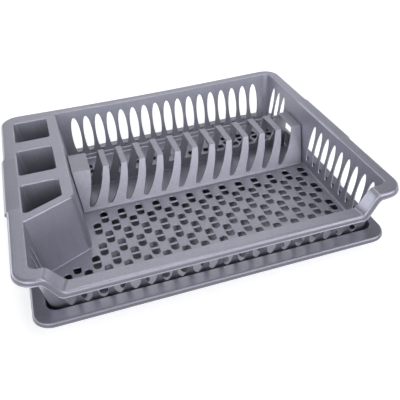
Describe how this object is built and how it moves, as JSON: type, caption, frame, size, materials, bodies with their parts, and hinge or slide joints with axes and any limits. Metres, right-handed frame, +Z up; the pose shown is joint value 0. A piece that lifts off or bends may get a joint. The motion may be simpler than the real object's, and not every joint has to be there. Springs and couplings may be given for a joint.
{
  "type": "dish drainer",
  "caption": "Slotted drying basket with a cutlery section of deep wells and a lift-out plate rack, standing in a shallow drip tray.",
  "frame": {"origin": "centre of the basket rim seen from above, on the table surface", "axes": "+X along the length with the cutlery section at -X, +Y towards the high back wall, +Z up"},
  "size_m": [0.4628, 0.3952, 0.1017],
  "materials": {
    "drip_tray_plastic": "satin moulded, silver pearl",
    "basket_plastic": "satin moulded, silver pearl",
    "plate_rack_plastic": "satin moulded, silver pearl"
  },
  "bodies": {
    "tray": {"drip_tray": "drip_tray_plastic"},
    "basket": {"basket": "basket_plastic"},
    "rack": {"plate_rack": "plate_rack_plastic"}
  },
  "joints": [
    {"name": "basket_lift", "type": "slide", "parent": "tray", "child": "basket", "axis": [0, 0, 1], "range_m": [0, 0.12]},
    {"name": "rack_lift", "type": "slide", "parent": "basket", "child": "rack", "axis": [0, 0, 1], "range_m": [0, 0.12]}
  ]
}
